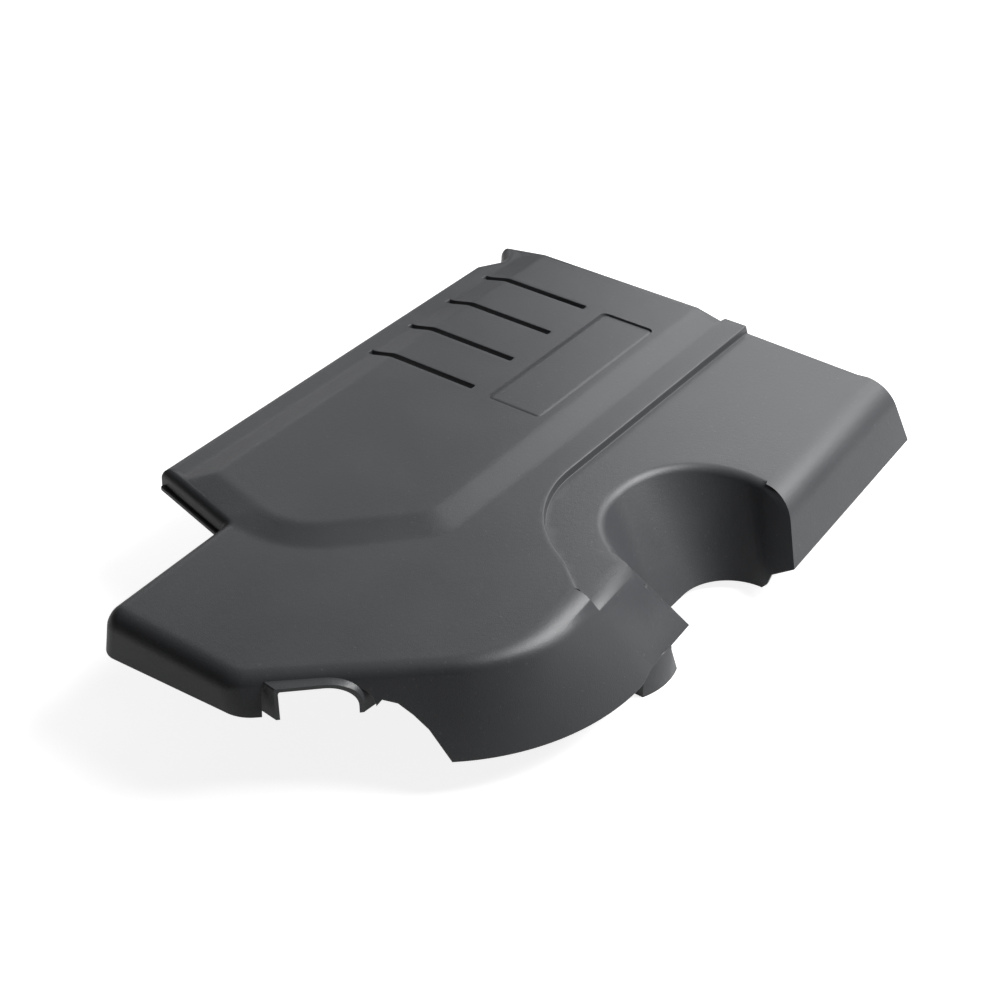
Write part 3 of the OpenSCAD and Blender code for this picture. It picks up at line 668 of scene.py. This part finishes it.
class CoverShell:
    """The moulded wall: outer and inner skins with their slots, recess, step and rim."""

    rim_round = 0.7
    slot_round = 0.7
    collar = 1.6
    collar_depth = 4.5
    recess_round = 0.7
    groove_depth = 0.9
    step_count = 40

    def __init__(self, form: CoverForm) -> None:
        """Keeps the form that the skins follow."""
        self.form = form
        self.s = form.s

    def slot_loops(self, grow: float) -> list[Array]:
        """Outlines of the slots, grown by a plan distance."""
        s, loops = self.s, []
        for i in range(s.slot_n):
            middle = s.length - s.slot_back - i * s.slot_pitch
            low = np.array([s.slot_right - s.slot_l, middle - s.slot_w / 2]) - grow
            high = np.array([s.slot_right, middle + s.slot_w / 2]) + grow
            loops.append(rounded_rectangle(low, high, 1.2 + grow, 3.0))
        return loops

    def recess_loops(self) -> list[Array]:
        """Outlines of the recess from its rim inwards to its floor."""
        s = self.s
        low = np.array([s.recess_x, s.recess_y])
        high = low + [s.recess_w, s.recess_l]
        return [rounded_rectangle(low + inset, high - inset, 5.0 - inset, 4.0)
                for inset in self.recess_round * np.array([0, 0.5, 1, 1.7, 2.4])]

    def recess_drop(self, xy: Array) -> Array:
        """Drop of the recess, a smooth ramp of its distance inside a rounded rectangle.

        A narrow groove at the ramp's foot is added to it.
        """
        s, r = self.s, 5.0
        half = np.array([s.recess_w, s.recess_l]) / 2
        centre = np.array([s.recess_x, s.recess_y]) + half
        q = np.abs(xy - centre) - half + r
        outside = np.linalg.norm(np.maximum(q, 0), axis=-1)
        inside = r - outside - np.minimum(np.max(q, axis=-1), 0)
        f = np.clip(inside / self.recess_round, 0, 1)
        groove = np.clip(1 - np.abs(inside / self.recess_round - 1.2) / 1.1, 0, 1)
        return s.recess_d * f * f * (3 - 2 * f) + self.groove_depth * groove

    def plate(self, mesh: Patchwork, outline: Array, holes: list[Array], creases: list[Array],
              height: Height, spacing: float, flip: bool) -> None:
        """Fills an outline with triangles that follow a height function.

        Args:
            mesh: Where the plate is added.
            outline: Its rim, with heights of its own.
            holes: Closed loops that stay open.
            creases: Closed loops that the triangles' sides follow.
            height: The height at a plan place.
            spacing: Distance between the points inside.
            flip: Whether the faces look down.
        """
        edge = outline[:, :2]
        low, high = edge.min(0), edge.max(0)
        x, y = (np.arange(a, b, spacing) for a, b in zip(low, high))
        inner = np.stack(np.meshgrid(x, y, indexing="ij"), -1).reshape(-1, 2)
        inner[:, 0] += (np.round(inner[:, 1] / spacing) % 2) * spacing / 2
        loops = [edge, *holes, *creases]
        keep = inside_loop(inner, edge)
        for loop in loops:
            keep[keep] = distance_to_loop(inner[keep], loop) > spacing / 3
        for hole in holes:
            keep[keep] = ~inside_loop(inner[keep], hole)
        inner = inner[keep]
        flat = np.concatenate([*loops, inner])
        sides, first = [], 0
        for loop in loops:
            ring = np.arange(len(loop)) + first
            sides += np.stack([ring, np.roll(ring, -1)], 1).tolist()
            first += len(loop)
        made = delaunay_2d_cdt([Vector(p) for p in flat.tolist()], sides, [], 0, 1e-6, True)
        source = np.array([min(ids) for ids in made[3]])
        faces = source[np.array(made[2])]
        corners = flat[faces]
        middle = corners.mean(1)
        keep = inside_loop(middle, edge)
        for hole in holes:
            keep &= ~inside_loop(middle, hole)
        a, b = corners[:, 1] - corners[:, 0], corners[:, 2] - corners[:, 0]
        area = a[:, 0] * b[:, 1] - a[:, 1] * b[:, 0]
        faces = np.where((area < 0)[:, None], faces[:, ::-1], faces)[keep & (abs(area) > 1e-9)]
        z = height(flat)
        z[:len(edge)] = outline[:, 2]
        mesh.add(np.column_stack([flat, z]), faces, flip)

    def step_grid(self, skin: Skin, back: Array, flap: Array) -> Array:
        """Points [along, across] of the step, from the back edge to the flap.

        Each line across is the step's section: it leaves the plate along an arc, falls
        steeply and turns out on to the right plate.

        Args:
            skin: The face of the wall that the step belongs to.
            back: The outline's upper and lower point at the back edge.
            flap: The outline's upper and lower point at the flap.

        Returns:
            The step's points, the first and last line across running between the given ones.
        """
        form, d = self.form, self.form.step
        across, drop, weight = d.rows()
        t = self.s.wall * skin.value
        lines = [form.step_arc(d.edge_r + t - a, self.step_count) for a in across]
        f = (across / d.width)[:, None]
        ends = [(1 - f) * pair[0, :2] + f * pair[1, :2] for pair in (back, flap)]
        plan = np.concatenate([ends[0][None], np.stack(lines, 1), ends[1][None]])
        high = np.full(plan.shape[:2], form.z_plate - t)
        low = form.z_right(plan) - t
        step = np.concatenate([plan, (high * (1 - weight) + low * weight - drop)[..., None]], -1)
        step[0, [0, -1]], step[-1, [0, -1]] = back, flap
        return step

    def skin(self, mesh: Patchwork, skin: Skin) -> Array:
        """Adds one skin's top and step and returns its rings."""
        form, flip = self.form, skin is Skin.INNER
        t = self.s.wall * skin.value
        rings, slices = form.rings(skin)
        right = [j for j, c in enumerate(form.corners(skin)) if c.level is Level.RIGHT]
        end, low = slices[right[0] - 1].start, slices[right[0]].start
        foot_back, plate_back = slices[right[-1]].start, slices[right[-1] + 1].start
        top = rings[:, -1]
        step = self.step_grid(skin, top[[plate_back, foot_back]], top[[end, low]])
        upper = np.concatenate([top[:end + 1], step[1:-1, 0][::-1], top[plate_back:]])
        lower = np.concatenate([top[low:foot_back + 1], step[1:-1, -1]])
        slots = self.slot_loops(self.collar if flip else self.slot_round)
        creases = [] if flip else self.recess_loops()
        spacing = 9.0 if flip else 3.0

        def top_height(xy: Array) -> Array:
            """Height of this skin over panel, band and plate."""
            return form.z_top(xy) - t - (0 if flip else self.recess_drop(xy))

        def right_height(xy: Array) -> Array:
            """Height of this skin over the right plate."""
            return form.z_right(xy) - t

        self.plate(mesh, upper, slots, creases, top_height, spacing, flip)
        self.plate(mesh, lower, [], [], right_height, 3 * spacing, flip)
        mesh.add_grid(step, flip=flip)
        return rings

    def build(self) -> bpy.types.Object:
        """Builds both skins and joins them along the lower rim and through the slots."""
        mesh, form = Patchwork(), self.form
        outer, inner = (self.skin(mesh, skin) for skin in Skin)
        length = [np.linalg.norm(r[:, 1] - r[:, 0], axis=1)[:, None] for r in (outer, inner)]
        lift = [r[:, 0] + (r[:, 1] - r[:, 0]) * np.minimum(self.rim_round / n, 0.5)
                for r, n in zip((outer, inner), length)]
        across = inner[:, 0] - outer[:, 0]
        share = self.rim_round / self.s.wall
        rim = [lift[0], outer[:, 0] + 0.07 * across, outer[:, 0] + share * across,
               inner[:, 0] - share * across, inner[:, 0] - 0.07 * across, lift[1]]
        mesh.add_grid(np.stack(rim, 1), closed=True)
        for rings, low, flip in ((outer, lift[0], False), (inner, lift[1], True)):
            wall = rings.copy()
            wall[:, 0] = low
            mesh.add_grid(wall, closed=True, flip=flip)
        quarter = np.radians(np.linspace(0, 90, 5))
        r = self.slot_round
        low = self.s.wall + self.collar_depth
        insets = np.append(r * (1 - np.sin(quarter)), [0, self.collar, self.collar])
        drops = np.append(r * (1 - np.cos(quarter)), [low, low, self.s.wall])
        rows = [self.slot_loops(grow) for grow in insets]
        for i in range(self.s.slot_n):
            loop = np.stack([row[i] for row in rows], 1)
            z = form.z_top(loop) - drops
            mesh.add_grid(np.concatenate([loop, z[..., None]], -1), closed=True)
        return mesh.build("cover_shell", smooth=55)


class CableHood:
    """The arch that leaves the diagonal wall for a cable."""

    turn = 12.0

    def __init__(self, form: CoverForm) -> None:
        """Keeps the form that the hood stands on."""
        self.form = form
        self.s = form.s

    def arch(self, t: float) -> Array:
        """Section of the arch: share across, and height, at a distance inside its surface."""
        s = self.s
        side, top = t / s.hood_w * 1.35, -s.hood_depth - t
        a = np.radians(np.linspace(0, 90, 19))
        left = np.radians(np.linspace(90, 0, 6))
        corner = np.stack([side + 0.03 * (1 - np.sin(left)), top - 2.4 * (1 - np.cos(left))], 1)
        bow = np.stack([0.56 + (0.44 - side) * np.sin(a), top - 17 * (1 - np.cos(a))], 1)
        foot = -(s.front_depth - 1)
        return np.concatenate([[[side, foot]], corner[:-1], bow, [[1 - side, foot]]])

    def surface(self, t: float, q: Array) -> Array:
        """Points [along the arch, from wall to lip] of the hood at a distance t inside."""
        form, s = self.form, self.s
        out = np.array([np.sin(np.radians(s.diagonal_angle)),
                        -np.cos(np.radians(s.diagonal_angle))])
        ends = [form.front_right + place * form.diagonal - 4 * out
                for place in (s.hood_s, s.hood_s + s.hood_w)]
        lips = [ends[0] + s.hood_out * out + self.turn * form.diagonal,
                ends[1] + (s.hood_out - 2) * out - self.turn * form.diagonal]
        arch = self.arch(t)
        p = arch[:, :1, None]
        root = ends[0] * (1 - p) + ends[1] * p
        lip = lips[0] * (1 - p) + lips[1] * p
        plan = root * (1 - q[None, :, None]) + lip * q[None, :, None]
        z = np.broadcast_to(arch[:, 1:], plan.shape[:2])
        return np.concatenate([plan, z[..., None]], -1)

    def build(self) -> bpy.types.Object:
        """Builds the arch as one closed wall."""
        q = np.array([-0.2, 0.3, 0.7, 1.0])
        outer, inner = self.surface(0, q), self.surface(self.s.wall, q)
        mesh = Patchwork()
        mesh.add_tube(np.concatenate([outer, inner[:, ::-1]], axis=1), flip=True)
        return mesh.build("cable_hood", smooth=32)


class Underside:
    """Posts, oblong leg, lip and ribs, which stand on the inner skin."""

    def __init__(self, form: CoverForm) -> None:
        """Keeps the form that they hang from."""
        self.form = form
        self.s = form.s
        self.leg_in, self.leg_out, self.leg_bow, self.leg_top = 16.0, 20.5, 55.0, 27.0

    def lathe(self, mesh: Patchwork, at: Array, profile: Array,
              limit: Height | None = None) -> None:
        """Turns a profile of radius and height about a post's axis.

        Args:
            mesh: Where the surface is added.
            at: The axis, in plan.
            profile: Rows of radius and height, from the top's middle round to the core's.
            limit: The greatest height at a plan place.
        """
        a = np.radians(np.arange(0, 360, 5.0))[:, None]
        r, z = profile[:, 0], profile[:, 1] + 0 * a
        plan = at + r[None, :, None] * np.stack([np.cos(a), np.sin(a)], -1)
        if limit:
            z = np.minimum(z, limit(plan))
        mesh.add_grid(np.concatenate([plan, z[..., None]], -1), closed=True, flip=True)

    def post_profile(self, top: float, core: float) -> Array:
        """Profile of a post: its outside, rounded foot, socket, seat and core hole."""
        s = self.s
        foot, r, e = -s.height, s.socket_d / 2, 0.5
        return np.array([[0, top], [s.post_d / 2, top], [s.post_d / 2, foot + e],
                         [s.post_d / 2 - e, foot], [r + e, foot], [r, foot + e],
                         [r, foot + s.socket_l], [s.core_d / 2, foot + s.socket_l],
                         [s.core_d / 2, core], [0, core]])

    def posts(self) -> bpy.types.Object:
        """Builds the three round posts."""
        mesh, s = Patchwork(), self.s
        for at, roof in ((POST_FRONT, 0.0), (POST_BACK, 0.0),
                         (POST_RIGHT, float(self.form.z_right(POST_RIGHT)))):
            top = roof + s.bite - s.wall
            self.lathe(mesh, at, self.post_profile(top, roof - s.core_top))
        return mesh.build("posts", smooth=50)

    def leg_limit(self, xy: Array) -> Array:
        """Height of the flap's wall over the leg, or the leg's own top where that is lower."""
        s, form = self.s, self.form
        line = s.flap_x + (xy[..., 1] - form.skirt_top[1]) / np.tan(np.radians(form.flap_angle))
        d = np.radians(s.flap_draft)
        plane = form.z_plate - (s.wall - s.bite) / np.sin(d) - (xy[..., 0] - line) / np.tan(d)
        return np.minimum(np.maximum(plane, s.bite - s.skirt_depth + 3), -self.leg_top)

    def near_limit(self, x: Array, z: Array) -> Array:
        """The greatest Y that stays inside the bay's near wall."""
        s, form = self.s, self.form
        turn = np.radians(form.near_turn)
        lean = np.tan(np.radians(s.near_draft)) / np.cos(turn)
        fall = form.z_right(form.near_touch) - z
        line = form.near_touch[1] - (x - form.near_touch[0]) * np.tan(turn)
        return line + fall * lean - (s.wall - s.bite)

    def leg_plan(self, t: float) -> Array:
        """Plan line of the leg at a distance inside it: two straight sides and a bowed face."""
        half = self.s.leg_l / 2 - t
        centre, r = self.leg_out - self.leg_bow, self.leg_bow - t
        a = np.arcsin(half / r) * np.linspace(-1, 1, 25)
        bow = np.stack([centre + r * np.cos(a), r * np.sin(a)], 1)
        return LEG_AT + np.concatenate([[[-self.leg_in, -half]], bow, [[-self.leg_in, half]]])

    def leg(self) -> bpy.types.Object:
        """Builds the oblong leg: a channel round a socket tube, cut off under the flap."""
        mesh, s = Patchwork(), self.s
        outer, inner = self.leg_plan(0), self.leg_plan(s.wall)
        columns = []
        for line, at_top in ((outer, False), (outer, True), (inner, True), (inner, False)):
            z = self.leg_limit(line) if at_top else np.full(len(line), -s.height)
            y = np.minimum(line[:, 1], self.near_limit(line[:, 0], z))
            columns.append(np.stack([line[:, 0], y, z], 1))
        mesh.add_tube(np.stack(columns, 1), flip=True)
        core = -s.height + 40
        self.lathe(mesh, LEG_AT, self.post_profile(-self.leg_top, core), self.leg_limit)
        half = s.rib_t / 2
        for low, high in (((9.5 + s.wall, -half), (self.leg_out - s.bite, half)),
                          ((-half, s.bite - s.leg_l / 2), (half, -9.5 - s.wall)),
                          ((-half, 9.5 + s.wall), (half, s.leg_l / 2 - s.bite - 5))):
            box = LEG_AT + np.array([[low[0], low[1]], [high[0], low[1]],
                                     [high[0], high[1]], [low[0], high[1]]])
            foot = np.column_stack([box, np.full(4, -s.height)])
            roof = np.column_stack([box, self.leg_limit(box)])
            mesh.add_tube(np.stack([foot, roof]))
        return mesh.build("flap_leg", smooth=40)

    def lip(self) -> bpy.types.Object:
        """Builds the lip along the lower edge of the plank's front wall."""
        form, s = self.form, self.s
        u, n = -form.plank_dir, left_of(form.plank_dir)
        length = np.linalg.norm(form.corner_a - form.plank_line) - 5
        out = s.plank_depth * np.tan(np.radians(6)) + s.lip_out
        section = np.array([[s.bite, 0], [-out + 0.4, 0], [-out, 0.4], [-out, 3.2],
                            [-out + 0.8, 4], [s.bite, 4]])
        rows = []
        for along in (3.0, length):
            plan = form.corner_a + u * along + n * section[:, :1]
            rows.append(np.column_stack([plan, section[:, 1] - s.plank_depth]))
        mesh = Patchwork()
        mesh.add_tube(np.stack(rows))
        return mesh.build("plank_lip", smooth=30)

    def rib(self, mesh: Patchwork, a: Array, b: Array, z: Height) -> None:
        """Adds one rib, a thin web with sloping ends, between two plan points."""
        s = self.s
        u = unit(b - a)
        n = left_of(u) * s.rib_t / 2
        columns = []
        for side, sink in ((n, 0), (n, 1), (-n, 1), (-n, 0)):
            line = np.stack([a + u * 4 * sink, b - u * 4 * sink]) + side * (1 - 0.25 * sink)
            depth = z(line) + s.bite - s.wall - s.rib_h * sink
            columns.append(np.column_stack([line, depth]))
        mesh.add_tube(np.stack(columns, 1))

    def ribs(self) -> bpy.types.Object:
        """Builds the webs under the raised panel, the front plate and the right plate."""
        s, form, mesh = self.s, self.form, Patchwork()
        x0, x1 = s.shoulder_w + 3, s.panel_x - 2

        def flat(xy: Array) -> Array:
            """Height of the raised panel."""
            return np.zeros(len(xy))

        def plate(xy: Array) -> Array:
            """Height of the front plate."""
            return np.full(len(xy), form.z_plate)

        rows = [s.length - s.slot_back - (i - 0.5) * s.slot_pitch for i in range(s.slot_n + 1)]
        for y in [*rows, POST_FRONT[1]]:
            self.rib(mesh, np.array([x0, y]), np.array([x1, y]), flat)
        mid = (s.slot_right + s.recess_x) / 2
        self.rib(mesh, np.array([mid, s.panel_y + 15]), np.array([mid, s.length - 8]), flat)
        x = POST_FRONT[0]
        self.rib(mesh, np.array([x, s.panel_y + 8]), np.array([x, s.recess_y - 12]), flat)
        x = form.front_right[0] - 50
        self.rib(mesh, np.array([x, 16]), np.array([x, s.plate_y]), plate)
        y = s.plate_y / 2
        self.rib(mesh, np.array([s.plate_x + 20, y]),
                 np.array([form.front_right[0] + 20, y]), plate)
        for y in (POST_RIGHT[1], POST_RIGHT[1] - 62):
            self.rib(mesh, np.array([form.step_x + 8, y]), np.array([s.width - 38, y]),
                     form.z_right)
        return mesh.build("ribs", smooth=30)


class Value:
    """A shader socket with arithmetic: each operation adds its Math node."""

    def __init__(self, graph: Graph, socket: bpy.types.NodeSocket) -> None:
        """Keeps the graph and the socket."""
        self.graph, self.socket = graph, socket

    def math(self, operation: str, *others: Value | float) -> Value:
        """The result of a Math node on this value and others."""
        return self.graph.node("ShaderNodeMath", {"operation": operation}, [self, *others])

    def __add__(self, other: Value | float) -> Value:
        """This value plus another."""
        return self.math("ADD", other)

    def __sub__(self, other: Value | float) -> Value:
        """This value less another."""
        return self.math("SUBTRACT", other)

    def __rsub__(self, other: float) -> Value:
        """A number less this value."""
        return self.graph.node("ShaderNodeMath", {"operation": "SUBTRACT"}, [other, self])

    def __mul__(self, other: Value | float) -> Value:
        """This value times another."""
        return self.math("MULTIPLY", other)

    __radd__, __rmul__ = __add__, __mul__

    def ramp(self, low: float, high: float) -> Value:
        """A smooth step from 0 at low to 1 at high."""
        return self.graph.node("ShaderNodeMapRange", {"interpolation_type": "SMOOTHSTEP"},
                               {"Value": self, "From Min": low, "From Max": high})


class Graph:
    """A node tree that is written with expressions."""

    def __init__(self, tree: bpy.types.NodeTree) -> None:
        """Empties the tree."""
        self.tree = tree
        tree.nodes.clear()

    def node(self, kind: str, settings: dict[str, object],
             inputs: dict[str, object] | list[object], output: int | str = 0) -> Value:
        """Adds a node.

        Args:
            kind: The node's type.
            settings: Its own settings, which are set first.
            inputs: Values or links, by socket name or in order.
            output: The socket that the result reads.

        Returns:
            The chosen output.
        """
        made = self.tree.nodes.new(kind)
        for name, setting in settings.items():
            setattr(made, name, setting)
        pairs = inputs.items() if isinstance(inputs, dict) else enumerate(inputs)
        for name, given in pairs:
            if isinstance(given, Value):
                self.tree.links.new(given.socket, made.inputs[name])
            else:
                made.inputs[name].default_value = given
        return Value(self, made.outputs[output] if made.outputs else None)

    def noise(self, place: Value, scale: float, detail: float = 2.0) -> Value:
        """A noise of about 0 to 1 whose features measure 1 / scale metres."""
        return self.node("ShaderNodeTexNoise", {},
                         {"Vector": place, "Scale": scale, "Detail": detail}, "Fac")

    def mix(self, factor: Value, a: tuple[float, ...] | Value,
            b: tuple[float, ...] | Value) -> Value:
        """Two colours mixed by a factor."""
        made = self.tree.nodes.new("ShaderNodeMix")
        made.data_type = "RGBA"
        for socket, given in zip((made.inputs[0], made.inputs[6], made.inputs[7]),
                                 (factor, a, b)):
            if isinstance(given, Value):
                self.tree.links.new(given.socket, socket)
            else:
                socket.default_value = given
        return Value(self, made.outputs[2])


@dataclass(frozen=True)
class BlackMoulding:
    """Finely grained black plastic with a satin sheen and a few dust specks."""

    colour: tuple[float, float, float, float] = (0.052, 0.054, 0.058, 1.0)
    deep: tuple[float, float, float, float] = (0.046, 0.048, 0.052, 1.0)
    dust: tuple[float, float, float, float] = (0.11, 0.11, 0.115, 1.0)
    roughness: float = 0.42
    grain_mm: float = 0.75
    grain_depth: float = 0.00022

    def make(self) -> bpy.types.Material:
        """Builds the material's nodes."""
        material = bpy.data.materials.new("black_moulding")
        material.use_nodes = True
        g = Graph(material.node_tree)
        place = g.node("ShaderNodeTexCoord", {}, {}, "Object")
        cloud = g.noise(place, 14.0, 3.0)
        grain = g.noise(place, 1000.0 / self.grain_mm, 2.5)
        coarse = g.noise(place, 330.0, 1.0)
        speck = g.noise(place, 420.0, 0.0).ramp(0.80, 0.82)
        tone = g.mix(cloud.ramp(0.3, 0.7), self.deep, self.colour)
        tone = g.mix(speck * 0.35, tone, self.dust)
        rough = self.roughness + 0.08 * (cloud - 0.5) + 0.10 * (grain - 0.5)
        height = grain + 0.5 * coarse
        bump = g.node("ShaderNodeBump", {},
                      {"Strength": 0.55, "Distance": self.grain_depth, "Height": height})
        shader = g.node("ShaderNodeBsdfPrincipled", {},
                        {"Base Color": tone, "Roughness": rough, "Normal": bump, "IOR": 1.5})
        g.node("ShaderNodeOutputMaterial", {}, {"Surface": shader})
        return material


@dataclass(frozen=True)
class PaleFloor:
    """A white floor that keeps the cover's shadow."""

    colour: tuple[float, float, float, float] = (0.55, 0.55, 0.55, 1.0)
    glow: float = 0.86
    half: float = 9.0

    def build(self) -> bpy.types.Object:
        """Lays the floor under the posts' feet."""
        mesh = bpy.data.meshes.new("floor")
        h, z = self.half, -0.0002
        mesh.from_pydata([(-h, -h, z), (h, -h, z), (h, h, z), (-h, h, z)], [], [(0, 1, 2, 3)])
        floor = bpy.data.objects.new("floor", mesh)
        bpy.context.scene.collection.objects.link(floor)
        material = bpy.data.materials.new("pale_floor")
        material.use_nodes = True
        g = Graph(material.node_tree)
        seen = seen_rays(g)
        shader = g.node("ShaderNodeBsdfDiffuse", {}, {"Color": self.colour})
        light = g.node("ShaderNodeEmission", {}, {"Strength": seen * self.glow})
        both = g.node("ShaderNodeAddShader", {}, [shader, light])
        g.node("ShaderNodeOutputMaterial", {}, {"Surface": both})
        mesh.materials.append(material)
        return floor


def seen_rays(g: Graph) -> Value:
    """How much each ray sees of the surroundings: the camera's and glass's all, gloss's part."""
    rays = [g.node("ShaderNodeLightPath", {}, {}, name)
            for name in ("Is Camera Ray", "Is Glossy Ray", "Is Transmission Ray")]
    return rays[0].math("MAXIMUM", 0.3 * rays[1]).math("MAXIMUM", rays[2])


@dataclass(frozen=True)
class SoftBox:
    """A large plain lamp that faces the cover."""

    name: str
    place: tuple[float, float, float]
    size: tuple[float, float]
    power: float

    def build(self, target: Vector) -> None:
        """Hangs the lamp and turns it towards a point."""
        data = bpy.data.lights.new(self.name, "AREA")
        data.shape = "RECTANGLE"
        data.size, data.size_y = self.size
        data.energy = self.power
        lamp = bpy.data.objects.new(self.name, data)
        lamp.location = target + Vector(self.place)
        aim = target - lamp.location
        lamp.rotation_euler = aim.to_track_quat("-Z", "Y").to_euler()
        bpy.context.scene.collection.objects.link(lamp)


class Studio:
    """Camera, lamps and surroundings at the photograph's viewing angle."""

    camera_place = (0.77325, -0.820, 0.845)
    azimuth, elevation = 36.4, 35.8
    focal = 1800.0
    frame_px = 1001.0
    sensor = 36.0
    lamps = (
        SoftBox("right_back", (0.60, 0.55, 0.90), (0.7, 0.7), 22.0),
        SoftBox("back", (-0.1, 1.25, 0.8), (1.2, 0.5), 8.0),
        SoftBox("left_back", (-1.2, 0.7, 0.6), (0.7, 0.7), 2.0),
    )

    def build(self) -> None:
        """Sets the camera, lamps and world."""
        scene = bpy.context.scene
        data = bpy.data.cameras.new("camera")
        data.sensor_width = self.sensor
        data.lens = self.sensor * self.focal / self.frame_px
        camera = bpy.data.objects.new("camera", data)
        camera.location = self.camera_place
        camera.rotation_euler = (np.radians(90 - self.elevation), 0, np.radians(self.azimuth))
        scene.collection.objects.link(camera)
        scene.camera = camera
        low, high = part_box("cover")
        for lamp in self.lamps:
            lamp.build((low + high) / 2)
        world = bpy.data.worlds.new("studio")
        scene.world = world
        world.use_nodes = True
        g = Graph(world.node_tree)
        ray = g.node("ShaderNodeLightPath", {}, {}, "Is Camera Ray")
        strength = 0.05 + 0.95 * ray
        sky = g.node("ShaderNodeBackground", {},
                     {"Color": (1.0, 1.0, 1.0, 1.0), "Strength": strength})
        g.node("ShaderNodeOutputWorld", {}, {"Surface": sky})
        scene.view_settings.view_transform = "Standard"


def main() -> None:
    """Builds the pieces in order, dresses them and reports each."""
    logging.basicConfig(level=logging.INFO, format="%(message)s")
    form = CoverForm(SIZES)
    under = Underside(form)
    pieces = [CoverShell(form).build(), CableHood(form).build(), under.posts(), under.leg(),
              under.lip(), under.ribs()]
    finish = BlackMoulding().make()
    for piece in pieces:
        piece.data.materials.append(finish)
        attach(piece, "root")
        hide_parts("cover")
        log.info("%s: %d faces", piece.name, len(piece.data.polygons))
    PaleFloor().build()
    Studio().build()


if __name__ == "__main__":
    main()
